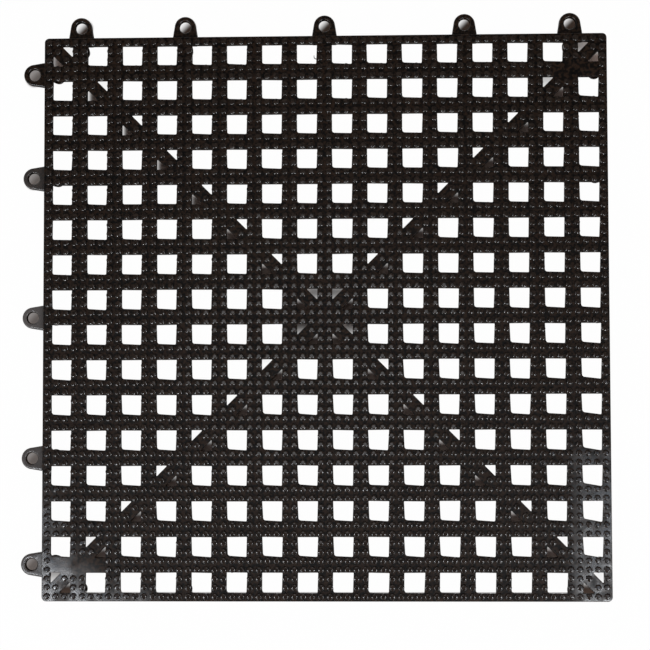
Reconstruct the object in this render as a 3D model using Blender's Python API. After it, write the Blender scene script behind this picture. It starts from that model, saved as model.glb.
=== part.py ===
"""Interlocking PVC floor tile: a square deck of drain holes that stands on short pegs.

Metres, +Z up. The origin is the centre of the tile on the floor, at the foot of the
middle peg. The loops stand out of the +Y and -X edges, and a snap post under the
border of every edge takes the loop of a neighbouring tile.
"""

import math

import bmesh
import bpy

# Grid of drain holes
HOLES_PER_SIDE = 16
HOLE_PITCH = 0.0190
HOLE_SIDE = 0.0110
BORDER_WIDTH = 0.0044

# Deck
DECK_TOP = 0.0131
DECK_THICKNESS = 0.0032
CORNER_RADIUS = 0.0024
EDGE_CHAMFER = 0.0005
CORNER_SEGMENTS = 4

# Diagonal ribs, flush with the deck
RIB_WIDTH = 0.0070

# Pegs under the crossings
PEG_ROOT_SIDE = 0.0050
PEG_FOOT_SIDE = 0.0036
PEG_EDGE_MARGIN = 0.0006
JOIN_DEPTH = 0.0010

# Snap posts
POST_INSET = 0.0058
POST_HEAD_RADIUS = 0.0040
POST_FOOT_RADIUS = 0.0035
POST_HEAD_TAPER = 0.0011
POST_SIDES = 9

# Loops
LOOP_THICKNESS = 0.0030
LOOP_RADIUS = 0.0058
LOOP_ROOT_WIDTH = 0.0138
LOOP_ROOT_DEPTH = 0.0040
LOOP_PAD_WIDTH = 0.0118
LOOP_PAD_DEPTH = 0.0035
LOOP_HOLE_RADIUS = 0.0031
LOOP_HOLE_CHAMFER = 0.0005
LOOP_SEGMENTS = 8
LOOP_HOLE_SIDES = 10

# Clearances of the snap joint
SEAM_GAP = 0.0004
POST_CLEARANCE = 0.00015
LOOP_CLEARANCE = 0.0003

# Sizes that follow from the ones above
TILE_SIDE = (HOLES_PER_SIDE - 1) * HOLE_PITCH + HOLE_SIDE + 2 * BORDER_WIDTH
HALF_SIDE = TILE_SIDE / 2
DECK_UNDERSIDE = DECK_TOP - DECK_THICKNESS
LOOP_TOP = DECK_UNDERSIDE - LOOP_CLEARANCE
LOOP_UNDERSIDE = LOOP_TOP - LOOP_THICKNESS
LOOP_OFFSET = POST_INSET + SEAM_GAP
POST_SHAFT_RADIUS = LOOP_HOLE_RADIUS - POST_CLEARANCE
POST_HEAD_TOP = LOOP_UNDERSIDE - LOOP_CLEARANCE
MIDDLE_BAR = HOLES_PER_SIDE // 2
LOOP_BARS = (1, 4, MIDDLE_BAR, HOLES_PER_SIDE - 4, HOLES_PER_SIDE - 1)

# Faces that meet at less than this angle belong to one round surface
ROUND_ANGLE = math.radians(42)


def clear_scene():
    for thing in list(bpy.data.objects):
        bpy.data.objects.remove(thing, do_unlink=True)


def black_pvc():
    material = bpy.data.materials.new("black_pvc")
    material.use_nodes = True
    shader = material.node_tree.nodes["Principled BSDF"]
    shader.inputs["Base Color"].default_value = (0.018, 0.015, 0.013, 1.0)
    shader.inputs["Roughness"].default_value = 0.42
    shader.inputs["IOR"].default_value = 1.52
    return material


def object_from(name, mesh_work):
    bmesh.ops.recalc_face_normals(mesh_work, faces=mesh_work.faces)
    mesh = bpy.data.meshes.new(name)
    mesh_work.to_mesh(mesh)
    mesh_work.free()
    made = bpy.data.objects.new(name, mesh)
    bpy.context.scene.collection.objects.link(made)
    return made


def as_cutter(made):
    made.hide_render = True
    made.display_type = "WIRE"
    return made


def add_stack(mesh_work, levels):
    """One closed body through a stack of outlines, each given as (points, height)."""
    rings = []
    for points, height in levels:
        ring = [mesh_work.verts.new((x, y, height)) for x, y in points]
        rings.append(ring)
    mesh_work.faces.new(list(reversed(rings[0])))
    mesh_work.faces.new(rings[-1])
    for lower, upper in zip(rings[:-1], rings[1:]):
        for index in range(len(lower)):
            after = (index + 1) % len(lower)
            mesh_work.faces.new((lower[index], lower[after], upper[after], upper[index]))


def moved(points, centre):
    return [(x + centre[0], y + centre[1]) for x, y in points]


def turned(points, quarter_turns):
    """The points turned a number of quarter turns about the origin, towards +Y from +X."""
    for _ in range(quarter_turns % 4):
        points = [(-y, x) for x, y in points]
    return points


def square(side):
    half = side / 2
    return [(-half, -half), (half, -half), (half, half), (-half, half)]


def circle(radius, sides):
    step = 2 * math.pi / sides
    return [
        (radius * math.cos((index + 0.5) * step), radius * math.sin((index + 0.5) * step))
        for index in range(sides)
    ]


def rounded_square(side, radius, segments):
    points = []
    inner = side / 2 - radius
    corners = ((inner, inner), (-inner, inner), (-inner, -inner), (inner, -inner))
    for quarter, corner in enumerate(corners):
        for index in range(segments + 1):
            angle = (quarter + index / segments) * math.pi / 2
            x = corner[0] + radius * math.cos(angle)
            y = corner[1] + radius * math.sin(angle)
            points.append((x, y))
    return points


def hole_centre(index):
    return (index - (HOLES_PER_SIDE - 1) / 2) * HOLE_PITCH


def bar_centre(index):
    return (index - HOLES_PER_SIDE / 2) * HOLE_PITCH


def rib_corners():
    """The two open triangles left beside a rib that runs from -X,+Y to +X,-Y."""
    half = HOLE_SIDE / 2
    reach = RIB_WIDTH / math.sqrt(2) - half
    corner = [(half, half), (reach, half), (half, reach)]
    return [corner, turned(corner, 2)]


def drain_hole_outlines():
    outlines = []
    for column in range(HOLES_PER_SIDE):
        for row in range(HOLES_PER_SIDE):
            centre = (hole_centre(column), hole_centre(row))
            rising = column == row
            falling = column + row == HOLES_PER_SIDE - 1
            if falling:
                outlines += [moved(points, centre) for points in rib_corners()]
            elif rising:
                outlines += [moved(turned(points, 1), centre) for points in rib_corners()]
            else:
                outlines.append(moved(square(HOLE_SIDE), centre))
    return outlines


def make_deck():
    """The rounded square plate, chamfered along its top edge."""
    outline = rounded_square(TILE_SIDE, CORNER_RADIUS, CORNER_SEGMENTS)
    top_side = TILE_SIDE - 2 * EDGE_CHAMFER
    top_outline = rounded_square(top_side, CORNER_RADIUS - EDGE_CHAMFER, CORNER_SEGMENTS)
    mesh_work = bmesh.new()
    levels = [
        (outline, DECK_UNDERSIDE),
        (outline, DECK_TOP - EDGE_CHAMFER),
        (top_outline, DECK_TOP),
    ]
    add_stack(mesh_work, levels)
    return object_from("floor_tile", mesh_work)


def make_drain_cutters():
    mesh_work = bmesh.new()
    for points in drain_hole_outlines():
        levels = [
            (points, DECK_UNDERSIDE - DECK_THICKNESS),
            (points, DECK_TOP + DECK_THICKNESS),
        ]
        add_stack(mesh_work, levels)
    return as_cutter(object_from("drain_cutters", mesh_work))


def post_places():
    """Where the snap posts stand, as (x, y), five along each edge."""
    places = []
    for quarter in range(4):
        for bar in LOOP_BARS:
            places += turned([(bar_centre(bar), HALF_SIDE - POST_INSET)], quarter)
    return places


def peg_places():
    """Every crossing of two bars, apart from the border crossings that have a post."""
    edge = HALF_SIDE - PEG_EDGE_MARGIN - PEG_ROOT_SIDE / 2
    last = HOLES_PER_SIDE
    places = []
    for column in range(last + 1):
        for row in range(last + 1):
            on_side = column in (0, last) and row in LOOP_BARS
            on_end = row in (0, last) and column in LOOP_BARS
            if on_side or on_end:
                continue
            x = max(-edge, min(edge, bar_centre(column)))
            y = max(-edge, min(edge, bar_centre(row)))
            places.append((x, y))
    return places


def make_pegs():
    """Square pegs that taper to the floor, sunk a little into the deck."""
    mesh_work = bmesh.new()
    for place in peg_places():
        levels = [
            (moved(square(PEG_FOOT_SIDE), place), 0.0),
            (moved(square(PEG_ROOT_SIDE), place), DECK_UNDERSIDE),
            (moved(square(PEG_ROOT_SIDE), place), DECK_UNDERSIDE + JOIN_DEPTH),
        ]
        add_stack(mesh_work, levels)
    return as_cutter(object_from("pegs", mesh_work))


def make_posts():
    """Round posts with a neck that the neighbour's loop closes on, above a wider head."""
    profile = (
        (POST_FOOT_RADIUS, 0.0),
        (POST_HEAD_RADIUS, POST_HEAD_TOP - POST_HEAD_TAPER),
        (POST_SHAFT_RADIUS, POST_HEAD_TOP),
        (POST_SHAFT_RADIUS, DECK_UNDERSIDE + JOIN_DEPTH),
    )
    mesh_work = bmesh.new()
    for place in post_places():
        levels = []
        for radius, height in profile:
            levels.append((moved(circle(radius, POST_SIDES), place), height))
        add_stack(mesh_work, levels)
    return as_cutter(object_from("posts", mesh_work))


def loop_outline(root):
    """A loop seen from above, pointing to +Y: a round nose on sides that widen to the root."""
    half_root = LOOP_ROOT_WIDTH / 2
    nose = HALF_SIDE + LOOP_OFFSET
    lean = math.atan2(half_root - LOOP_RADIUS, LOOP_OFFSET)
    points = []
    for index in range(LOOP_SEGMENTS + 1):
        angle = (math.pi - 2 * lean) * index / LOOP_SEGMENTS + lean
        x = LOOP_RADIUS * math.cos(angle)
        y = LOOP_RADIUS * math.sin(angle)
        points.append((x, nose + y))
    points.append((-half_root, HALF_SIDE))
    points.append((-half_root, root))
    points.append((half_root, root))
    points.append((half_root, HALF_SIDE))
    return points


def make_loop(name, quarter, bar):
    """One loop below the deck, with a root that rises under the border to join it."""
    root = HALF_SIDE - LOOP_ROOT_DEPTH
    side = bar_centre(bar)
    outline = turned(moved(loop_outline(root), (side, 0.0)), quarter)
    mesh_work = bmesh.new()
    add_stack(mesh_work, [(outline, LOOP_UNDERSIDE), (outline, LOOP_TOP)])
    half_pad = LOOP_PAD_WIDTH / 2
    inner = HALF_SIDE - LOOP_PAD_DEPTH
    outer = HALF_SIDE - EDGE_CHAMFER
    pad = [(-half_pad, inner), (half_pad, inner), (half_pad, outer), (-half_pad, outer)]
    pad = turned(moved(pad, (side, 0.0)), quarter)
    loop = as_cutter(object_from(name, mesh_work))
    pad_work = bmesh.new()
    add_stack(pad_work, [(pad, LOOP_TOP - JOIN_DEPTH), (pad, DECK_UNDERSIDE + JOIN_DEPTH)])
    combine(loop, as_cutter(object_from(name + "_pad", pad_work)), "UNION")
    centre = turned([(side, HALF_SIDE + LOOP_OFFSET)], quarter)[0]
    combine(loop, loop_hole_cutter(name + "_hole", centre), "DIFFERENCE")
    return loop


def loop_hole_cutter(name, centre):
    """The hole of a loop, with a chamfer round its mouth."""
    narrow = moved(circle(LOOP_HOLE_RADIUS, LOOP_HOLE_SIDES), centre)
    wide = moved(circle(LOOP_HOLE_RADIUS + 2 * LOOP_HOLE_CHAMFER, LOOP_HOLE_SIDES), centre)
    mesh_work = bmesh.new()
    levels = [
        (narrow, LOOP_UNDERSIDE - LOOP_THICKNESS),
        (narrow, LOOP_TOP - LOOP_HOLE_CHAMFER),
        (wide, LOOP_TOP + LOOP_HOLE_CHAMFER),
    ]
    add_stack(mesh_work, levels)
    return as_cutter(object_from(name, mesh_work))


def combine(target, tool, operation):
    """Joins the tool to the target, or cuts it away, and removes the tool."""
    modifier = target.modifiers.new(tool.name, "BOOLEAN")
    modifier.object = tool
    modifier.operation = operation
    modifier.solver = "EXACT"
    bpy.context.view_layer.update()
    graph = bpy.context.evaluated_depsgraph_get()
    done = bpy.data.meshes.new_from_object(target.evaluated_get(graph))
    target.modifiers.clear()
    target.data = done
    bpy.data.objects.remove(tool, do_unlink=True)


def make_floor_tile():
    tile = make_deck()
    combine(tile, make_drain_cutters(), "DIFFERENCE")
    combine(tile, make_pegs(), "UNION")
    combine(tile, make_posts(), "UNION")
    for quarter in (0, 1):
        for bar in LOOP_BARS:
            loop = make_loop(f"loop_{quarter}_{bar}", quarter, bar)
            combine(tile, loop, "UNION")
    tile.name = "floor_tile"
    tile.data.name = "floor_tile"
    tile.data.shade_smooth()
    tile.data.set_sharp_from_angle(angle=ROUND_ANGLE)
    tile.data.materials.clear()
    tile.data.materials.append(black_pvc())
    return tile


clear_scene()
make_floor_tile()
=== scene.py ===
"""Looks of the interlocking PVC floor tile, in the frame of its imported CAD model.

Metres, +Z up, origin under the centre of the tile on the floor. The tile is one
moulding: deck, nubs, pegs, posts and loops are fine meshes of one black PVC. The
camera looks straight down on it, over a white sheet.
"""

import math
import random

import bmesh
import bpy
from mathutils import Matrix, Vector
from mathutils.geometry import tessellate_polygon


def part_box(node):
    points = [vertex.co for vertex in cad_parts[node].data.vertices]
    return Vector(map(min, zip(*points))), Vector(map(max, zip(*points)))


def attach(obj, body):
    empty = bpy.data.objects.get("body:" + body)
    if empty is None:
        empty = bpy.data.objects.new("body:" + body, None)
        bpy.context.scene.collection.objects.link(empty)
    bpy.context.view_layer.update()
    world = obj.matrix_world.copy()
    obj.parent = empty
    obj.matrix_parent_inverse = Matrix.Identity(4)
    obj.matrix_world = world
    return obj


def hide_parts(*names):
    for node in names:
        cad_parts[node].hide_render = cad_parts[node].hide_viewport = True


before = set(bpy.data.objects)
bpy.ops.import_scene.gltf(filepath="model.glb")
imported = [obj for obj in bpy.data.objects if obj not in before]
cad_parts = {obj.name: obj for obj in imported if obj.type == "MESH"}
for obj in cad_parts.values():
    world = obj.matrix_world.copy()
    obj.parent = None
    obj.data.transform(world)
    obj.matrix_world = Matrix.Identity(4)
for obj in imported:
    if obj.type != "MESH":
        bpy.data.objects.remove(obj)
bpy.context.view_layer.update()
CAD_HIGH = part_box("floor_tile")[1]

# Grid of drain holes
HOLES_PER_SIDE = 16
HOLE_PITCH = 0.0190
HOLE_SIDE = 0.0110
# Corners of a square hole from its centre, from the front left: x, y, radius, segments
HOLE_CORNERS = (
    (-0.00533, -0.00505, 0.0014, 5),
    (0.00520, -0.00540, 0.0006, 3),
    (0.00557, 0.00533, 0.0003, 2),
    (-0.00544, 0.00538, 0.0003, 2),
)
HOLE_JITTER = 0.00007
TRIANGLE_CORNER_RADIUS = 0.0003
TRIANGLE_SEGMENTS = 3
RIB_WIDTH = 0.0070

# How far the front corners of the holes are drawn off square
DRAW_IN = Vector((0.00035, 0.00030))
DRAW_IN_COLUMNS = 5
FIRST_ROW_SHARE = -0.5
LAST_COLUMN_LEFT = (0.0002, 0.0006)
LAST_COLUMN_RIGHT = (0.0001, 0.0003)

# Deck
HALF_SIDE = CAD_HIGH.x
DECK_TOP = CAD_HIGH.z
DECK_THICKNESS = 0.0032
DECK_UNDERSIDE = DECK_TOP - DECK_THICKNESS
CORNER_RADIUS = 0.0024
CORNER_SEGMENTS = 8
EDGE_ROUND = 0.0004
EDGE_STEPS = 3
UNDER_EDGE_ROUND = EDGE_ROUND / 2
WELD = 0.000002

# Nubs
NUB_PITCH = HOLE_PITCH / 4
NUB_HEIGHT = 0.0012
NUB_BASE_RADIUS = 0.00171
NUB_FLAT_RADIUS = 0.00082
NUB_FLAT_TILT = 0.012
NUB_SHOULDER_TILT = 0.443
NUB_SHOULDER_POWER = 0.835
NUB_RIM_START = 0.63
NUB_RIM_STEEPENING = 1.75
NUB_FACE_RINGS = (0.00165, 0.00150, 0.00129, 0.00102, 0.00079)
NUB_RIM_ROUND = 0.00005
NUB_DRAFT = math.radians(2.0)
NUB_SINK = 0.0001
NUB_SIDES = 14
NUB_SWELL = (0.98, 1.02)
NUB_RISE = (0.97, 1.0)
NUB_BOW = (0.9, 1.1)
NUB_LEAN = 0.012
NUB_BOW_LIMIT = 0.5
# Strips of bar without nubs: left, right, front, back
BARE_STRIPS = (
    (0.1235, 0.1470, 0.1290, 0.1370),
    (-0.1470, -0.1190, -0.1370, -0.1290),
)

# Pegs
PEG_ROOT_SIDE = 0.0050
PEG_FOOT_SIDE = 0.0036
PEG_EDGE_MARGIN = 0.0006
PEG_CORNER_RADIUS = 0.0007
PEG_CORNER_SEGMENTS = 3
PEG_FOOT_ROUND = 0.0003
JOIN_DEPTH = 0.0010

# Snap posts
POST_INSET = 0.0058
POST_HEAD_RADIUS = 0.0040
POST_FOOT_RADIUS = 0.0035
POST_HEAD_TAPER = 0.0011
POST_SHAFT_RADIUS = 0.00295
POST_ROUND = 0.0003
POST_SIDES = 32
POST_LEAN = Vector((0.0002, 0.0010))
LEANING_POSTS = (-0.140, -0.070)

# Loops
SEAM_GAP = 0.0004
LOOP_CLEARANCE = 0.0003
LOOP_THICKNESS = 0.0030
LOOP_RADIUS = 0.0058
LOOP_ROOT_WIDTH = 0.0138
LOOP_ROOT_DEPTH = 0.0040
LOOP_PAD_WIDTH = 0.0118
LOOP_PAD_DEPTH = 0.0035
LOOP_HOLE_RADIUS = 0.0031
LOOP_MOUTH_RADIUS = 0.0038
LOOP_RIM_ROUND = 0.0008
LOOP_RIM_STEPS = 4
LOOP_SEGMENTS = 24
LOOP_SIDES = 40
LOOP_TOP = DECK_UNDERSIDE - LOOP_CLEARANCE
LOOP_UNDERSIDE = LOOP_TOP - LOOP_THICKNESS
LOOP_OFFSET = POST_INSET + SEAM_GAP
POST_HEAD_TOP = LOOP_UNDERSIDE - LOOP_CLEARANCE
MIDDLE_BAR = HOLES_PER_SIDE // 2
LOOP_BARS = (1, 4, MIDDLE_BAR, HOLES_PER_SIDE - 4, HOLES_PER_SIDE - 1)

# Curl of moulding flash at one hole of the back row
FLASH_ROUTE = (
    Vector((-0.00360, 0.13985, 0.0123)),
    Vector((-0.00450, 0.13975, 0.0124)),
    Vector((-0.00530, 0.14010, 0.0125)),
    Vector((-0.00560, 0.14090, 0.0127)),
    Vector((-0.00540, 0.14180, 0.0130)),
)
FLASH_WIDTHS = (0.00032, 0.00030, 0.00027, 0.00022, 0.00010)
FLASH_FLATNESS = 0.6
FLASH_SIDES = 8

# Colours
PVC_DARK = (0.0008, 0.0004, 0.0002)
PVC_LIGHT = (0.0245, 0.0128, 0.0072)
# painted sheen: a paler colour on the tops of the left loops, in place of a lamp's reflection
PVC_PAINTED_SHEEN = (0.098, 0.088, 0.084)
NUB_DARK = (0.0090, 0.0064, 0.0052)
NUB_LIGHT = (0.0280, 0.0192, 0.0148)
# painted shade on the steep flanks of the nubs
NUB_FLANK_SHADE = (0.0030, 0.0022, 0.0020)
PAPER_DARK = (0.80, 0.79, 0.78)
PAPER_LIGHT = (0.86, 0.855, 0.85)
SHADE_BROWN = (0.50, 0.38, 0.33)
SHADE_DEEP = (0.13, 0.088, 0.068)
HORIZON = (1.0, 1.0, 1.0)
CEILING = (0.085, 0.076, 0.071)
DAYLIGHT = (0.93, 0.96, 1.0)
SKY = (0.72, 0.84, 1.0)

# Finish of the PVC
PVC_IOR = 1.52
BROAD_MOTTLE = 0.012
FINE_MOTTLE = 0.0014
FINE_SHARE = 0.82
GRAIN = 0.0009
GRAIN_DEPTH = 0.00002
WAVE = 0.011
DECK_ROUGHNESS = 0.42
DECK_SHEEN = 0.17
DECK_WAVE_DEPTH = 0.00025
WALL_ROUGHNESS = 0.7
FRONT_WALL_REACH = 0.006
POLISHED_ROUGHNESS = 0.18
NUB_ROUGHNESS = 0.11
NUB_GRAIN_DEPTH = 0.000006
LOOP_ROUGHNESS = 0.20
LOOP_SHEEN = 0.5
LOOP_WAVE_DEPTH = 0.00008
DULL_ROUGHNESS = 0.60
DULL_SHEEN = 0.02

# Sheet under the tile
FLOOR_HALF = 6.0
PAPER_TOOTH = 0.0015
SHADE_REACH = HALF_SIDE - 0.0018
STRIP_EDGE = -0.14845
SHEET_SHARE = 0.985
STRIP_SHARE = 0.42
LOOP_SHADE_SHIFT = 0.0018
LOOP_SHADE_RADII = (0.0058, 0.0040)
BACK_LOOP_SHARES = (0.0, 0.90)
LEFT_LOOP_SHARES = (0.07, 0.22)
SEEING_RAYS = ("Is Camera Ray", "Is Glossy Ray", "Is Transmission Ray")

# Camera, fitted to the grid of holes in the photo
CAMERA_PLACE = Vector((0.036887, -0.061249, DECK_TOP + 1.0))
CAMERA_TURN = (0.05633, 0.03693, -0.00253)
CAMERA_LENS = 103.30
SENSOR_WIDTH = 36.0
CLIP_START = 0.01
CLIP_END = 20.0
LAMP_HEIGHT = 1.013

random.seed(7)


# Outlines: a spoke is (centre, direction, radius), and a ring runs through the spoke ends


def corner_spokes(corners, radii, segments):
    """Spokes of a convex outline, given anticlockwise, with an arc at each corner."""
    spokes = []
    count = len(corners)
    for index, corner in enumerate(corners):
        before = corners[index - 1]
        after = corners[(index + 1) % count]
        arriving = (corner - before).normalized()
        leaving = (after - corner).normalized()
        first = Vector((arriving.y, -arriving.x))
        last = Vector((leaving.y, -leaving.x))
        radius = radii[index]
        centre = corner - (first + last) * radius / (1 + first.dot(last))
        start = math.atan2(first.y, first.x)
        turn = first.angle(last)
        for step in range(segments[index] + 1):
            angle = start + turn * step / segments[index]
            direction = Vector((math.cos(angle), math.sin(angle)))
            spokes.append((centre, direction, radius))
    return spokes


def even_spokes(corners, radius, segments):
    return corner_spokes(corners, [radius] * len(corners), [segments] * len(corners))


def circle_spokes(centre, sides):
    spokes = []
    for index in range(sides):
        angle = 2 * math.pi * index / sides
        spokes.append((centre, Vector((math.cos(angle), math.sin(angle))), 0.0))
    return spokes


def ring(spokes, offset, height):
    points = [centre + direction * (radius + offset) for centre, direction, radius in spokes]
    return [Vector((point.x, point.y, height)) for point in points]


def turned(point, quarters):
    """A point turned quarter turns about the origin, towards +Y from +X."""
    for _ in range(quarters % 4):
        point = Vector((-point.y, point.x))
    return point


def turned_spokes(spokes, quarters):
    return [(turned(c, quarters), turned(d, quarters), r) for c, d, r in spokes]


def square_corners(side, centre=Vector((0.0, 0.0))):
    half = side / 2
    signs = ((-1, -1), (1, -1), (1, 1), (-1, 1))
    return [centre + Vector((x * half, y * half)) for x, y in signs]


def quarter_round(radius, steps):
    """(offset, drop) pairs over a rounded edge, from the flat on top to the wall."""
    pairs = []
    for step in range(steps + 1):
        angle = math.pi / 2 * step / steps
        pairs.append((radius * (1 - math.sin(angle)), radius * (1 - math.cos(angle))))
    return pairs


# Mesh work


def add_bands(work, rings, cap_first=False, cap_last=False):
    made = [[work.verts.new(point) for point in points] for points in rings]
    for lower, upper in zip(made[:-1], made[1:]):
        for index in range(len(lower)):
            after = (index + 1) % len(lower)
            work.faces.new((lower[index], lower[after], upper[after], upper[index]))
    if cap_first:
        work.faces.new(list(reversed(made[0])))
    if cap_last:
        work.faces.new(made[-1])


def add_plate(work, outline, openings):
    """A flat sheet inside the outline, round the openings."""
    loops = [outline] + openings
    corners = [work.verts.new(point) for loop in loops for point in loop]
    for triple in tessellate_polygon(loops):
        work.faces.new([corners[index] for index in triple])


def finished(name, work, weld=True):
    """The mesh as a smooth-shaded object whose flats stay flat."""
    if weld:
        bmesh.ops.remove_doubles(work, verts=work.verts, dist=WELD)
    bmesh.ops.recalc_face_normals(work, faces=work.faces)
    mesh = bpy.data.meshes.new(name)
    work.to_mesh(mesh)
    work.free()
    return placed(name, mesh)


def linked(name, data):
    made = bpy.data.objects.new(name, data)
    bpy.context.scene.collection.objects.link(made)
    return made


def placed(name, mesh):
    mesh.shade_smooth()
    made = linked(name, mesh)
    weighted = made.modifiers.new("weighted_normals", "WEIGHTED_NORMAL")
    weighted.keep_sharp = True
    return made


# Deck


def hole_centre(index):
    return (index - (HOLES_PER_SIDE - 1) / 2) * HOLE_PITCH


def bar_centre(index):
    return (index - HOLES_PER_SIDE / 2) * HOLE_PITCH


def rib_turn(column, row):
    """Quarter turns of the rib in a cell, or None where no rib crosses it."""
    if column + row == HOLES_PER_SIDE - 1:
        return 0
    if column == row:
        return 1
    return None


def front_share(row, end, rows):
    """1 in the front rows, falling to 0 over so many rows at the end row."""
    return min(1.0, max(0.0, (end - row) / rows))


def corner_draws(column, row):
    """How far each corner of a hole is drawn off square, by its place in the tile."""
    share = front_share(row, 9, 3) if row > 0 else FIRST_ROW_SHARE
    left = Vector((DRAW_IN.x * share * min(1.0, column / DRAW_IN_COLUMNS), DRAW_IN.y * share))
    right = Vector((0.0, 0.0))
    if column == HOLES_PER_SIDE - 1:
        share = front_share(row, 7, 4) if row > 0 else 0.0
        left.y += LAST_COLUMN_LEFT[0] + LAST_COLUMN_LEFT[1] * share
        right.y -= LAST_COLUMN_RIGHT[0] + LAST_COLUMN_RIGHT[1] * share
    return [left, right, Vector((0.0, 0.0)), Vector((0.0, 0.0))]


def hole_spokes(column, row):
    """The spokes of each opening in a cell: one square hole, or the two triangles beside a rib."""
    centre = Vector((hole_centre(column), hole_centre(row)))
    quarters = rib_turn(column, row)
    if quarters is None:
        corners = []
        for (x, y, _, _), drawn in zip(HOLE_CORNERS, corner_draws(column, row)):
            stray = Vector((random.gauss(0, HOLE_JITTER), random.gauss(0, HOLE_JITTER)))
            corners.append(centre + Vector((x, y)) + drawn + stray)
        radii = [radius for _, _, radius, _ in HOLE_CORNERS]
        segments = [count for _, _, _, count in HOLE_CORNERS]
        return [corner_spokes(corners, radii, segments)]
    half = HOLE_SIDE / 2
    reach = RIB_WIDTH / math.sqrt(2) - half
    triangle = [Vector((half, reach)), Vector((half, half)), Vector((reach, half))]
    openings = []
    for side in (0, 2):
        corners = [centre + turned(corner, quarters + side) for corner in triangle]
        openings.append(even_spokes(corners, TRIANGLE_CORNER_RADIUS, TRIANGLE_SEGMENTS))
    return openings


def border_spokes():
    """The outline of the tile, with a spoke at the end of each line between two cells."""
    inner = HALF_SIDE - CORNER_RADIUS
    spokes = []
    for quarter in range(4):
        side = []
        for index in range(1, HOLES_PER_SIDE):
            side.append((Vector((inner, bar_centre(index))), Vector((1.0, 0.0)), CORNER_RADIUS))
        for step in range(CORNER_SEGMENTS + 1):
            angle = math.pi / 2 * step / CORNER_SEGMENTS
            direction = Vector((math.cos(angle), math.sin(angle)))
            side.append((Vector((inner, inner)), direction, CORNER_RADIUS))
        spokes += turned_spokes(side, quarter)
    return spokes


def cell_outline(column, row, inset, height):
    """The edge of a cell, taken out to the inset border where the cell lies beside it."""
    last = HOLES_PER_SIDE
    edge = HALF_SIDE - inset
    points = []
    for step_x, step_y in ((0, 0), (1, 0), (1, 1), (0, 1)):
        line_x, line_y = column + step_x, row + step_y
        x, y = bar_centre(line_x), bar_centre(line_y)
        on_side = line_x in (0, last)
        on_end = line_y in (0, last)
        if on_side:
            x = math.copysign(edge, x)
        if on_end:
            y = math.copysign(edge, y)
        if on_side and on_end:
            corner = Vector((math.copysign(edge, x), math.copysign(edge, y)))
            points += corner_arc(corner, CORNER_RADIUS - inset)
        else:
            points.append(Vector((x, y)))
    return [Vector((point.x, point.y, height)) for point in points]


def corner_arc(corner, radius):
    """The rounded corner of the tile nearest to this point, anticlockwise."""
    x = corner.x - math.copysign(radius, corner.x)
    y = corner.y - math.copysign(radius, corner.y)
    centre = Vector((x, y))
    start = {(1, 1): 0, (-1, 1): 1, (-1, -1): 2, (1, -1): 3}
    quarter = start[(int(math.copysign(1, corner.x)), int(math.copysign(1, corner.y)))]
    points = []
    for step in range(CORNER_SEGMENTS + 1):
        angle = math.pi / 2 * (quarter + step / CORNER_SEGMENTS)
        points.append(centre + Vector((math.cos(angle), math.sin(angle))) * radius)
    return points


def make_deck():
    """The pierced plate, with every edge rounded."""
    work = bmesh.new()
    top_edge = quarter_round(EDGE_ROUND, EDGE_STEPS)
    under = UNDER_EDGE_ROUND
    for column in range(HOLES_PER_SIDE):
        for row in range(HOLES_PER_SIDE):
            spokes_here = hole_spokes(column, row)
            for spokes in spokes_here:
                levels = [ring(spokes, out, DECK_TOP - drop) for out, drop in top_edge]
                levels.append(ring(spokes, 0.0, DECK_UNDERSIDE + under))
                levels.append(ring(spokes, under, DECK_UNDERSIDE))
                add_bands(work, levels)
            mouths = [ring(spokes, EDGE_ROUND, DECK_TOP) for spokes in spokes_here]
            add_plate(work, cell_outline(column, row, EDGE_ROUND, DECK_TOP), mouths)
            mouths = [ring(spokes, under, DECK_UNDERSIDE) for spokes in spokes_here]
            add_plate(work, cell_outline(column, row, under, DECK_UNDERSIDE), mouths)
    border = border_spokes()
    levels = [ring(border, -out, DECK_TOP - drop) for out, drop in top_edge]
    levels.append(ring(border, 0.0, DECK_UNDERSIDE + under))
    levels.append(ring(border, -under, DECK_UNDERSIDE))
    add_bands(work, levels)
    return finished("tile_deck", work)


# Nubs


def in_bare_strip(x, y):
    for left, right, front, back in BARE_STRIPS:
        if left < x < right and front < y < back:
            return True
    return False


def nub_places():
    """A square lattice over the bars and ribs, apart from the holes and the bare strips."""
    places = []
    steps = (-1.5, -0.5, 0.5, 1.5)
    for column in range(HOLES_PER_SIDE):
        for row in range(HOLES_PER_SIDE):
            quarters = rib_turn(column, row)
            crossed = quarters is not None
            for step_x in steps:
                for step_y in steps:
                    in_hole = abs(step_x) < 1 and abs(step_y) < 1
                    on_rib = crossed and (step_x * step_y > 0) == (quarters == 1)
                    x = hole_centre(column) + step_x * NUB_PITCH
                    y = hole_centre(row) + step_y * NUB_PITCH
                    if (in_hole and not on_rib) or in_bare_strip(x, y):
                        continue
                    places.append((x, y))
    return places


def nub_tilt(radius):
    """Tilt of the face: almost flat in the middle, with a shoulder that steepens outwards."""
    flat = NUB_FLAT_TILT * min(1.0, radius / NUB_FLAT_RADIUS)
    millimetres = max(0.0, radius - NUB_FLAT_RADIUS) * 1000
    near_rim = max(0.0, millimetres - NUB_RIM_START)
    shoulder = NUB_SHOULDER_TILT * millimetres**NUB_SHOULDER_POWER
    return flat + shoulder + NUB_RIM_STEEPENING * near_rim**2


def nub_drop(radius):
    """How far the face has fallen at this radius."""
    steps = 40
    drop = 0.0
    for step in range(steps):
        drop += math.tan(nub_tilt(radius * (step + 0.5) / steps)) * radius / steps
    return drop


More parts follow.
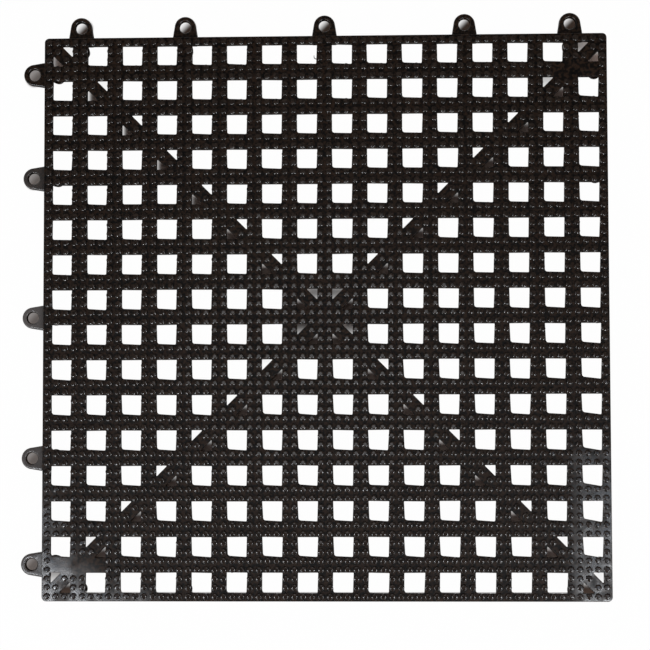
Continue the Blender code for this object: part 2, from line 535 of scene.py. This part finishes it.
def nub_profile():
    """(radius, height, tilt of the surface) from the sunk base up to the face."""
    wall_tilt = math.pi / 2 - NUB_DRAFT
    pairs = [(NUB_BASE_RADIUS, -NUB_SINK, wall_tilt)]
    edge = NUB_FACE_RINGS[0]
    edge_tilt = nub_tilt(edge)
    rim_centre = edge - NUB_RIM_ROUND * math.sin(edge_tilt)
    rim_height = NUB_HEIGHT - nub_drop(edge) - NUB_RIM_ROUND * math.cos(edge_tilt)
    for share in (1.0, 0.5):
        tilt = edge_tilt + (wall_tilt - edge_tilt) * share
        radius = rim_centre + NUB_RIM_ROUND * math.sin(tilt)
        pairs.append((radius, rim_height + NUB_RIM_ROUND * math.cos(tilt), tilt))
    for radius in NUB_FACE_RINGS:
        pairs.append((radius, NUB_HEIGHT - nub_drop(radius), nub_tilt(radius)))
    return pairs


def nub_faces(levels):
    """The faces of one closed shell: base, bands and the fan round the apex."""
    apex = levels * NUB_SIDES
    last = apex - NUB_SIDES
    faces = [tuple(reversed(range(NUB_SIDES)))]
    for start in range(0, last, NUB_SIDES):
        for side in range(NUB_SIDES):
            after = (side + 1) % NUB_SIDES
            above = start + NUB_SIDES
            faces.append((start + side, start + after, above + after, above + side))
    for side in range(NUB_SIDES):
        faces.append((last + side, last + (side + 1) % NUB_SIDES, apex))
    return faces


def nub_mesh(name, places):
    """All these nubs as one mesh of closed shells, each a little different."""
    points, normals, faces = [], [], []
    profile = nub_profile()
    shell = nub_faces(len(profile))
    for place_x, place_y in places:
        first = len(points)
        twist = random.uniform(0, 2 * math.pi)
        swell = random.uniform(*NUB_SWELL)
        rise = random.uniform(*NUB_RISE)
        bow = random.uniform(*NUB_BOW)
        lean = Vector((random.gauss(0, NUB_LEAN), random.gauss(0, NUB_LEAN), 0.0))
        for radius, height, tilt in profile:
            for side in range(NUB_SIDES):
                angle = twist + 2 * math.pi * side / NUB_SIDES
                x = radius * swell * math.cos(angle)
                y = radius * swell * math.sin(angle)
                z = DECK_TOP + height * rise + x * lean.x + y * lean.y
                points.append((place_x + x, place_y + y, z))
                slope = tilt * bow if tilt < NUB_BOW_LIMIT else tilt
                across = math.sin(slope)
                out_x, out_y = across * math.cos(angle), across * math.sin(angle)
                normal = Vector((out_x, out_y, math.cos(slope)))
                normals.append((normal - lean).normalized())
        points.append((place_x, place_y, DECK_TOP + NUB_HEIGHT * rise))
        normals.append((Vector((0.0, 0.0, 1.0)) - lean).normalized())
        faces += [tuple(first + corner for corner in face) for face in shell]
    mesh = bpy.data.meshes.new(name)
    mesh.from_pydata(points, [], faces)
    mesh.shade_smooth()
    mesh.normals_split_custom_set_from_vertices(normals)
    return linked(name, mesh)


def make_nubs():
    """The nubs in four quarters of the deck."""
    quarters = {"front_left": [], "front_right": [], "back_left": [], "back_right": []}
    for x, y in nub_places():
        name = ("back" if y > 0 else "front") + ("_right" if x > 0 else "_left")
        quarters[name].append((x, y))
    return [nub_mesh("nubs_" + name, places) for name, places in quarters.items()]


# Pegs, posts and loops


def post_places():
    places = []
    for quarter in range(4):
        for bar in LOOP_BARS:
            places.append(turned(Vector((bar_centre(bar), HALF_SIDE - POST_INSET)), quarter))
    return places


def peg_places():
    """Every crossing of two bars, apart from the border crossings that have a post."""
    edge = HALF_SIDE - PEG_EDGE_MARGIN - PEG_ROOT_SIDE / 2
    last = HOLES_PER_SIDE
    places = []
    for column in range(last + 1):
        for row in range(last + 1):
            on_side = column in (0, last) and row in LOOP_BARS
            on_end = row in (0, last) and column in LOOP_BARS
            if on_side or on_end:
                continue
            x = max(-edge, min(edge, bar_centre(column)))
            y = max(-edge, min(edge, bar_centre(row)))
            places.append(Vector((x, y)))
    return places


def make_pegs():
    work = bmesh.new()
    for place in peg_places():
        foot, root = (
            even_spokes(square_corners(side, place), PEG_CORNER_RADIUS, PEG_CORNER_SEGMENTS)
            for side in (PEG_FOOT_SIDE, PEG_ROOT_SIDE)
        )
        levels = [
            ring(foot, -PEG_FOOT_ROUND, 0.0),
            ring(foot, 0.0, PEG_FOOT_ROUND),
            ring(root, 0.0, DECK_UNDERSIDE - PEG_FOOT_ROUND),
            ring(root, PEG_FOOT_ROUND, DECK_UNDERSIDE + WELD),
            ring(root, PEG_FOOT_ROUND, DECK_UNDERSIDE + JOIN_DEPTH),
        ]
        add_bands(work, levels, cap_first=True, cap_last=True)
    return finished("tile_pegs", work, weld=False)


def make_posts():
    """Round posts with a neck that the neighbour's loop closes on, above a wider head."""
    soft = POST_ROUND
    widest = POST_HEAD_TOP - POST_HEAD_TAPER
    profile = (
        (POST_FOOT_RADIUS - soft, 0.0),
        (POST_FOOT_RADIUS, soft),
        (POST_HEAD_RADIUS - soft / 4, widest - soft),
        (POST_HEAD_RADIUS, widest),
        (POST_HEAD_RADIUS - soft / 2, widest + soft),
        (POST_SHAFT_RADIUS, POST_HEAD_TOP),
        (POST_SHAFT_RADIUS, DECK_UNDERSIDE - soft),
        (POST_SHAFT_RADIUS + soft, DECK_UNDERSIDE + WELD),
        (POST_SHAFT_RADIUS + soft, DECK_UNDERSIDE + JOIN_DEPTH),
    )
    work = bmesh.new()
    for place in post_places():
        leaning = place + post_lean(place)
        levels = []
        for radius, height in profile:
            centre = place if height >= POST_HEAD_TOP else leaning
            levels.append(ring(circle_spokes(centre, POST_SIDES), radius, height))
        add_bands(work, levels, cap_first=True, cap_last=True)
    return finished("tile_posts", work, weld=False)


def post_lean(place):
    """The two front posts of the left edge lean a little towards the back."""
    front, back = LEANING_POSTS
    on_left = place.x < -HALF_SIDE + 2 * POST_INSET
    return POST_LEAN if on_left and front < place.y < back else Vector((0.0, 0.0))


def loop_spokes(side):
    """A loop on the +Y edge seen from above: a round nose on sides that widen to the root."""
    half_root = LOOP_ROOT_WIDTH / 2
    root = HALF_SIDE - LOOP_ROOT_DEPTH
    centre = Vector((side, HALF_SIDE + LOOP_OFFSET))
    reach = math.hypot(half_root, LOOP_OFFSET)
    bearing = math.atan2(LOOP_OFFSET, half_root)
    lean = math.acos(LOOP_RADIUS / reach) - bearing
    apex = LOOP_RADIUS / math.sin(lean)
    corners = [
        Vector((side - half_root, root)),
        Vector((side + half_root, root)),
        Vector((side + half_root, HALF_SIDE)),
        centre + Vector((0.0, apex)),
        Vector((side - half_root, HALF_SIDE)),
    ]
    small = LOOP_RIM_ROUND
    radii = [small, small, small, LOOP_RADIUS, small]
    return corner_spokes(corners, radii, [3, 3, 2, LOOP_SEGMENTS, 2]), centre


def add_loop(work, quarter, side):
    spokes, centre = loop_spokes(side)
    spokes = turned_spokes(spokes, quarter)
    hole = circle_spokes(turned(centre, quarter), LOOP_SIDES)
    under = LOOP_RIM_ROUND / 3
    rim = quarter_round(LOOP_RIM_ROUND, LOOP_RIM_STEPS)
    levels = [ring(spokes, -out, LOOP_TOP - drop) for out, drop in rim]
    levels.append(ring(spokes, 0.0, LOOP_UNDERSIDE + under))
    levels.append(ring(spokes, -under, LOOP_UNDERSIDE))
    add_bands(work, levels)
    dip = LOOP_MOUTH_RADIUS - LOOP_HOLE_RADIUS
    wall = [
        ring(hole, LOOP_MOUTH_RADIUS, LOOP_TOP),
        ring(hole, LOOP_MOUTH_RADIUS - 0.35 * dip, LOOP_TOP - 0.12 * dip),
        ring(hole, LOOP_MOUTH_RADIUS - 0.75 * dip, LOOP_TOP - 0.55 * dip),
        ring(hole, LOOP_HOLE_RADIUS, LOOP_TOP - 1.3 * dip),
        ring(hole, LOOP_HOLE_RADIUS, LOOP_UNDERSIDE + under),
        ring(hole, LOOP_HOLE_RADIUS + under, LOOP_UNDERSIDE),
    ]
    add_bands(work, wall)
    add_plate(work, ring(spokes, -LOOP_RIM_ROUND, LOOP_TOP), [wall[0]])
    add_plate(work, ring(spokes, -under, LOOP_UNDERSIDE), [wall[-1]])


def add_loop_pad(work, quarter, side):
    """The block that joins a loop to the deck above it."""
    half = LOOP_PAD_WIDTH / 2
    inner = HALF_SIDE - LOOP_PAD_DEPTH
    outer = HALF_SIDE - EDGE_ROUND
    corners = [
        Vector((side - half, inner)),
        Vector((side + half, inner)),
        Vector((side + half, outer)),
        Vector((side - half, outer)),
    ]
    spokes = turned_spokes(even_spokes(corners, EDGE_ROUND, 2), quarter)
    heights = (LOOP_TOP - JOIN_DEPTH, DECK_UNDERSIDE + JOIN_DEPTH)
    levels = [ring(spokes, 0.0, height) for height in heights]
    add_bands(work, levels, cap_first=True, cap_last=True)


def make_loops():
    work = bmesh.new()
    for quarter in (0, 1):
        for bar in LOOP_BARS:
            add_loop(work, quarter, bar_centre(bar))
            add_loop_pad(work, quarter, bar_centre(bar))
    return finished("tile_loops", work)


def make_flash_sliver():
    """A thin curl of flash on the wall of a hole at the back edge."""
    work = bmesh.new()
    rings = []
    last = len(FLASH_ROUTE) - 1
    for index, (place, width) in enumerate(zip(FLASH_ROUTE, FLASH_WIDTHS)):
        ahead = FLASH_ROUTE[min(index + 1, last)] - FLASH_ROUTE[max(index - 1, 0)]
        across = ahead.cross(Vector((0, 0, 1))).normalized()
        lift = across.cross(ahead).normalized()
        points = []
        for step in range(FLASH_SIDES):
            angle = 2 * math.pi * step / FLASH_SIDES
            out = across * math.cos(angle) * width
            points.append(place + out + lift * math.sin(angle) * width * FLASH_FLATNESS)
        rings.append(points)
    add_bands(work, rings, cap_first=True, cap_last=True)
    made = finished("flash_sliver", work, weld=False)
    smooth = made.modifiers.new("smooth", "SUBSURF")
    smooth.levels = smooth.render_levels = 2
    return made


# Materials


class Nodes:
    """A short way to add and join the nodes of one material or world."""

    def __init__(self, tree):
        self.tree = tree
        tree.nodes.clear()

    def add(self, kind, **settings):
        node = self.tree.nodes.new(kind)
        for name, value in settings.items():
            setattr(node, name, value)
        return node

    def join(self, source, target):
        self.tree.links.new(source, target)

    def fill(self, socket, value):
        """Join an output to the socket, or write a plain value in it."""
        if isinstance(value, bpy.types.NodeSocket):
            self.join(value, socket)
        else:
            socket.default_value = value

    def math(self, operation, first, second=0.0):
        node = self.add("ShaderNodeMath", operation=operation)
        self.fill(node.inputs[0], first)
        self.fill(node.inputs[1], second)
        return node.outputs[0]

    def product(self, first, *others):
        for other in others:
            first = self.math("MULTIPLY", first, other)
        return first

    def largest(self, first, *others):
        for other in others:
            first = self.math("MAXIMUM", first, other)
        return first

    def size(self, value):
        return self.math("ABSOLUTE", value)

    def axes(self, vector):
        node = self.add("ShaderNodeSeparateXYZ")
        self.join(vector, node.inputs[0])
        return node.outputs["X"], node.outputs["Y"], node.outputs["Z"]

    def facing(self):
        """The axes of the way that the mesh faces."""
        return self.axes(self.add("ShaderNodeNewGeometry").outputs["True Normal"])

    def noise(self, place, size, detail=2.0, roughness=0.5):
        """Noise with features of about this size in metres."""
        node = self.add("ShaderNodeTexNoise")
        node.inputs["Scale"].default_value = 1 / size
        node.inputs["Detail"].default_value = detail
        node.inputs["Roughness"].default_value = roughness
        self.join(place, node.inputs["Vector"])
        return node.outputs["Fac"]

    def spread(self, value, low, high, to_low=0.0, to_high=1.0):
        """A soft step from one value at the low end to the other at the high end."""
        node = self.add("ShaderNodeMapRange", interpolation_type="SMOOTHSTEP")
        self.join(value, node.inputs["Value"])
        node.inputs["From Min"].default_value = low
        node.inputs["From Max"].default_value = high
        node.inputs["To Min"].default_value = to_low
        node.inputs["To Max"].default_value = to_high
        return node.outputs["Result"]

    def blend(self, share, first, second):
        """A colour that goes from the first to the second with the share."""
        node = self.add("ShaderNodeMix", data_type="RGBA")
        self.join(share, node.inputs[0])
        for socket, colour in zip((node.inputs[6], node.inputs[7]), (first, second)):
            self.fill(socket, (*colour, 1.0) if isinstance(colour, tuple) else colour)
        return node.outputs[2]

    def mix(self, share, first, second):
        """A value that goes from the first to the second with the share."""
        node = self.add("ShaderNodeMix", data_type="FLOAT")
        for index, value in zip((0, 2, 3), (share, first, second)):
            self.fill(node.inputs[index], value)
        return node.outputs[0]

    def bump(self, height, distance, strength, under=None):
        node = self.add("ShaderNodeBump")
        node.inputs["Distance"].default_value = distance
        node.inputs["Strength"].default_value = strength
        self.join(height, node.inputs["Height"])
        if under is not None:
            self.join(under, node.inputs["Normal"])
        return node.outputs["Normal"]


def present(socket):
    """What is joined to the socket so far."""
    return socket.links[0].from_socket


def new_nodes(name):
    material = bpy.data.materials.new(name)
    material.use_nodes = True
    nodes = Nodes(material.node_tree)
    place = nodes.add("ShaderNodeTexCoord").outputs["Object"]
    return material, nodes, place


def pvc(name, roughness, wave=0.0, sheen=0.5, dark=PVC_DARK, light=PVC_LIGHT, depth=GRAIN_DEPTH):
    """Black PVC: brown-black, faintly mottled, with a soft moulded grain."""
    material, nodes, place = new_nodes(name)
    shader = nodes.add("ShaderNodeBsdfPrincipled")
    shader.inputs["IOR"].default_value = PVC_IOR
    shader.inputs["Specular IOR Level"].default_value = sheen
    broad = nodes.spread(nodes.noise(place, BROAD_MOTTLE, 3.0, 0.6), 0.35, 0.7)
    fine = nodes.spread(nodes.noise(place, FINE_MOTTLE, 1.0), 0.40, 0.60)
    colour = nodes.blend(nodes.mix(FINE_SHARE, broad, fine), dark, light)
    nodes.join(colour, shader.inputs["Base Color"])
    grain = nodes.noise(place, GRAIN, 3.0, 0.6)
    rough = nodes.spread(grain, 0.3, 0.7, roughness * 0.9, min(1.0, roughness * 1.12))
    nodes.join(rough, shader.inputs["Roughness"])
    under = None
    if wave:
        under = nodes.bump(nodes.noise(place, WAVE, 1.0), wave, 1.0)
    nodes.join(nodes.bump(grain, depth, 0.5, under), shader.inputs["Normal"])
    output = nodes.add("ShaderNodeOutputMaterial")
    nodes.join(shader.outputs["BSDF"], output.inputs["Surface"])
    return material, nodes, shader, place


def polished_share(nodes, place):
    """Along the borders at the two front corners, and up the right border."""
    x, y, _ = nodes.axes(place)
    left = nodes.product(x, -1.0)
    front = nodes.product(y, -1.0)
    both = nodes.math("ADD", left, front)
    border = nodes.spread(nodes.largest(left, front), 0.1365, 0.1460)
    border = nodes.product(border, nodes.spread(both, 0.232, 0.262))
    corner = nodes.largest(border, nodes.spread(both, 0.250, 0.285))
    flank = nodes.spread(x, 0.126, 0.142)
    reach = nodes.spread(front, 0.062, 0.080)
    patchy = nodes.spread(nodes.noise(place, 0.009, 3.0), 0.35, 0.60, 0.25, 1.0)
    return nodes.product(nodes.largest(corner, nodes.product(flank, reach)), patchy)


def deck_pvc():
    """Dull, but polished by handling at the front corners; the front inner wall is smooth."""
    sheen = DECK_SHEEN
    material, nodes, shader, place = pvc("pvc_deck", DECK_ROUGHNESS, DECK_WAVE_DEPTH, sheen)
    _, backward, upward = nodes.facing()
    wall = nodes.spread(nodes.size(upward), 0.1, 0.05)
    _, y, _ = nodes.axes(place)
    faces_back = nodes.math("GREATER_THAN", backward, 0.5)
    in_front = nodes.math("LESS_THAN", y, -HALF_SIDE + FRONT_WALL_REACH)
    smooth = nodes.product(wall, faces_back, in_front)
    polish = nodes.product(polished_share(nodes, place), nodes.math("SUBTRACT", 1.0, wall))
    glossy = nodes.largest(polish, smooth)
    rough = nodes.mix(wall, present(shader.inputs["Roughness"]), WALL_ROUGHNESS)
    nodes.join(nodes.mix(glossy, rough, POLISHED_ROUGHNESS), shader.inputs["Roughness"])
    level = nodes.mix(glossy, nodes.mix(wall, sheen, 0.0), 1.0)
    nodes.join(level, shader.inputs["Specular IOR Level"])
    return material


def nub_pvc():
    """Glossy, with painted shade on the steeper flanks."""
    material, nodes, shader, _ = pvc(
        "pvc_nubs", NUB_ROUGHNESS, dark=NUB_DARK, light=NUB_LIGHT, depth=NUB_GRAIN_DEPTH
    )
    _, _, upward = nodes.facing()
    # painted shade: the flanks darken where the surface tilts away from straight up
    flank = nodes.spread(upward, 0.94, 0.80)
    colour = nodes.blend(flank, present(shader.inputs["Base Color"]), NUB_FLANK_SHADE)
    nodes.join(colour, shader.inputs["Base Color"])
    return material


def loop_pvc():
    """Smooth; the tops of the left edge's loops carry a painted sheen, a paler colour that is
    strongest in the middle of the edge.
    """
    sheen = LOOP_SHEEN
    material, nodes, shader, place = pvc("pvc_loops", LOOP_ROUGHNESS, LOOP_WAVE_DEPTH, sheen)
    x, y, _ = nodes.axes(place)
    _, _, upward = nodes.facing()
    left = nodes.spread(x, -HALF_SIDE, -HALF_SIDE - 0.0006)
    along = nodes.product(nodes.spread(y, 0.125, 0.010), nodes.spread(y, -0.020, -0.100, 1.0, 0.55))
    # painted sheen on the tops of the left loops, in place of the reflection of a lamp on their
    # left
    painted_sheen = nodes.product(left, along, nodes.spread(upward, 0.5, 0.95))
    colour = nodes.blend(painted_sheen, present(shader.inputs["Base Color"]), PVC_PAINTED_SHEEN)
    nodes.join(colour, shader.inputs["Base Color"])
    wall = nodes.spread(nodes.size(upward), 0.6, 0.3)
    rough = nodes.mix(wall, present(shader.inputs["Roughness"]), WALL_ROUGHNESS)
    nodes.join(rough, shader.inputs["Roughness"])
    nodes.join(nodes.mix(wall, sheen, 0.0), shader.inputs["Specular IOR Level"])
    return material


# Sheet under the tile


def floor_sheet():
    """White paper: pure white to the camera, with the tile's shade left in it, and painted brown
    shade in its colour by the ribs, in the loops and along the front row.
    """
    material, nodes, place = new_nodes("white_sheet")
    paper = nodes.add("ShaderNodeBsdfDiffuse")
    tooth = nodes.noise(place, PAPER_TOOTH, 3.0)
    sheet = nodes.blend(tooth, PAPER_DARK, PAPER_LIGHT)
    shared, dusk, deep = white_share(nodes, place)
    # painted shade: the paper's colour turns brown, and deeper brown in the loops and under the
    # front rows
    shade = nodes.blend(deep, SHADE_BROWN, SHADE_DEEP)
    nodes.join(nodes.blend(dusk, sheet, shade), paper.inputs["Color"])
    white = nodes.add("ShaderNodeEmission")
    white.inputs["Strength"].default_value = 1.0
    path = nodes.add("ShaderNodeLightPath").outputs
    seen = nodes.largest(*(path[ray] for ray in SEEING_RAYS))
    mix = nodes.add("ShaderNodeMixShader")
    nodes.join(nodes.product(seen, shared), mix.inputs[0])
    nodes.join(paper.outputs[0], mix.inputs[1])
    nodes.join(white.outputs[0], mix.inputs[2])
    output = nodes.add("ShaderNodeOutputMaterial")
    nodes.join(mix.outputs[0], output.inputs["Surface"])
    return material


def white_share(nodes, place):
    """How white the sheet looks, where its shade is brown, and where that is deep."""
    x, y, _ = nodes.axes(place)
    by_rib, rib_share = rib_shade(nodes, x, y)
    in_loop, loop_share = loop_shade(nodes, x, y)
    in_strip = front_strip(nodes, x, y)
    sheet_share = nodes.mix(in_strip, SHEET_SHARE, STRIP_SHARE)
    shared = nodes.mix(by_rib, nodes.mix(in_loop, sheet_share, loop_share), rib_share)
    # dusk marks where painted brown shade takes the place of the paper's colour
    dusk = nodes.largest(by_rib, in_loop, in_strip)
    deep = nodes.largest(in_loop, nodes.spread(y, -0.128, -0.142))
    return shared, dusk, deep


def cell_of(nodes, value):
    """The cell's number, and the place in it from -0.5 to 0.5."""
    steps = nodes.math("DIVIDE", value, HOLE_PITCH)
    number = nodes.math("FLOOR", steps)
    return number, nodes.math("SUBTRACT", nodes.math("SUBTRACT", steps, number), 0.5)


def rib_shade(nodes, x, y):
    """The cells that a rib crosses, and how white the sheet looks in them."""
    cell_x, along_x = cell_of(nodes, x)
    cell_y, along_y = cell_of(nodes, y)
    rising = nodes.math("COMPARE", cell_x, cell_y)
    falling = nodes.math("COMPARE", nodes.math("ADD", cell_x, cell_y), -1.0)
    farthest = nodes.largest(nodes.size(x), nodes.size(y))
    inside = nodes.math("LESS_THAN", farthest, SHADE_REACH)
    way = nodes.math("SUBTRACT", rising, falling)
    above = nodes.math("SUBTRACT", along_y, nodes.product(along_x, way))
    lower = lower_share(nodes, x, y, along_x, along_y, falling)
    upper = upper_share(nodes, y, along_y, rising)
    share = nodes.mix(nodes.spread(above, -0.05, 0.05), lower, upper)
    return nodes.product(nodes.largest(rising, falling), inside), share


def upper_share(nodes, y, along_y, rising):
    """The triangle behind a rib: white, but dim by the centre and by the corners."""
    low_down = nodes.spread(along_y, 0.32, -0.15)
    central = nodes.spread(nodes.size(y), 0.026, 0.012)
    corner = nodes.spread(nodes.size(y), 0.112, 0.145)
    corner = nodes.product(corner, nodes.mix(rising, 0.15, 0.95))
    high, low = nodes.mix(central, 0.10, 0.03), nodes.mix(central, 0.75, 0.60)
    dim = nodes.mix(low_down, high, low)
    return nodes.mix(nodes.largest(central, corner), 0.965, dim)


def lower_share(nodes, x, y, along_x, along_y, falling):
    """The triangle in front of a rib: painted brown shade, with a white tip of painted light and,
    at the left, a white side.
    """
    outward = nodes.spread(x, -0.045, -0.110, 0.0, 0.78)
    leftward = nodes.math("POWER", nodes.spread(along_x, -0.15, -0.40), 3.0)
    last_cell = nodes.spread(x, -0.131, -0.134, 1.0, 0.32)
    side = nodes.product(outward, falling, leftward, last_cell)
    # painted light: a white tip at the back of the triangle
    seen_y = nodes.math("SUBTRACT", along_y, nodes.product(y, 0.68))
    tip = nodes.math("POWER", nodes.spread(seen_y, -0.15, 0.04), 2.0)
    return nodes.largest(side, nodes.product(tip, 0.36))


def front_strip(nodes, x, y):
    """The painted shade along the near edge of the first row of holes, where the front border's
    shadow falls.
    """
    inside = nodes.math("LESS_THAN", nodes.size(x), SHADE_REACH)
    near = nodes.math("LESS_THAN", y, STRIP_EDGE)
    beyond = nodes.math("GREATER_THAN", y, -SHADE_REACH)
    return nodes.product(near, beyond, inside)


def loop_shade(nodes, x, y):
    """The round of sheet that shows through each loop, in painted shade that lightens towards the
    back and the left, and how white it looks there.
    """
    out = HALF_SIDE + LOOP_OFFSET + LOOP_SHADE_SHIFT
    found, share = [], []
    for bar in LOOP_BARS:
        side = bar_centre(bar)
        for centre, shares in (((side, out), BACK_LOOP_SHARES), ((-out, side), LEFT_LOOP_SHARES)):
            off_x = nodes.math("SUBTRACT", x, centre[0])
            off_y = nodes.math("SUBTRACT", y, centre[1])
            square = nodes.math("ADD", nodes.product(off_x, off_x), nodes.product(off_y, off_y))
            here = nodes.spread(nodes.math("SQRT", square), *LOOP_SHADE_RADII)
            lit = nodes.spread(nodes.math("SUBTRACT", off_y, off_x), -0.0020, 0.0050, *shares)
            found.append(here)
            share.append(nodes.product(lit, here))
    return nodes.largest(*found), nodes.largest(*share)


def make_floor():
    work = bmesh.new()
    corners = square_corners(2 * FLOOR_HALF)
    work.faces.new([work.verts.new((corner.x, corner.y, 0.0)) for corner in corners])
    mesh = bpy.data.meshes.new("floor")
    work.to_mesh(mesh)
    work.free()
    floor = linked("floor", mesh)
    mesh.materials.append(floor_sheet())


# Light and camera


def make_world():
    """A pale horizon under a dark ceiling."""
    world = bpy.data.worlds.new("studio")
    bpy.context.scene.world = world
    world.use_nodes = True
    nodes = Nodes(world.node_tree)
    _, _, height = nodes.axes(nodes.add("ShaderNodeTexCoord").outputs["Generated"])
    shade = nodes.blend(nodes.spread(height, 0.10, 0.45), HORIZON, CEILING)
    background = nodes.add("ShaderNodeBackground")
    nodes.join(shade, background.inputs["Color"])
    output = nodes.add("ShaderNodeOutputWorld")
    nodes.join(background.outputs[0], output.inputs["Surface"])


def softbox(name, place, radius, radiance, colour=DAYLIGHT, mirrored=True):
    """A round lamp that faces the tile, given the radiance of its face."""
    lamp = bpy.data.lights.new(name, "AREA")
    lamp.shape = "DISK"
    lamp.size = 2 * radius
    lamp.color = colour
    lamp.energy = radiance * math.pi * math.pi * radius * radius
    holder = linked(name, lamp)
    holder.location = place
    holder.visible_glossy = mirrored
    holder.rotation_mode = "QUATERNION"
    holder.rotation_quaternion = (-Vector(place)).to_track_quat("-Z", "Y")


def make_lamps():
    softbox("lamp_left", (-0.400, -0.330, LAMP_HEIGHT), 0.052, 52.0)
    softbox("lamp_right", (0.318, -0.328, LAMP_HEIGHT), 0.052, 52.0)
    softbox("gloss_left", (-0.337, -0.215, LAMP_HEIGHT), 0.075, 1.4, SKY)
    softbox("gloss_right", (0.290, -0.150, LAMP_HEIGHT), 0.075, 1.6, SKY)
    softbox("lamp_above", (-0.040, 0.010, LAMP_HEIGHT), 0.140, 1.6)
    softbox("side_left", (-0.780, -0.780, 0.720), 0.540, 2.4)
    softbox("side_right", (0.780, -0.780, 0.720), 0.540, 2.4)
    softbox("fill_back", (0.000, 1.250, 0.500), 0.560, 1.9, mirrored=False)


def make_camera():
    camera = linked("camera", bpy.data.cameras.new("camera"))
    camera.location = CAMERA_PLACE
    camera.rotation_euler = CAMERA_TURN
    camera.data.lens = CAMERA_LENS
    camera.data.sensor_width = SENSOR_WIDTH
    camera.data.clip_start = CLIP_START
    camera.data.clip_end = CLIP_END
    bpy.context.scene.camera = camera


# The whole scene


def on_root(piece, material):
    piece.data.materials.append(material)
    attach(piece, "root")
    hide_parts("floor_tile")


def make_tile():
    deck, nub, loop = deck_pvc(), nub_pvc(), loop_pvc()
    dull = pvc("pvc_dull", DULL_ROUGHNESS, sheen=DULL_SHEEN)[0]
    on_root(make_deck(), deck)
    for nubs in make_nubs():
        on_root(nubs, nub)
    on_root(make_loops(), loop)
    for piece in (make_pegs(), make_posts(), make_flash_sliver()):
        on_root(piece, dull)


make_tile()
make_floor()
make_world()
make_lamps()
make_camera()
bpy.context.scene.view_settings.view_transform = "Standard"
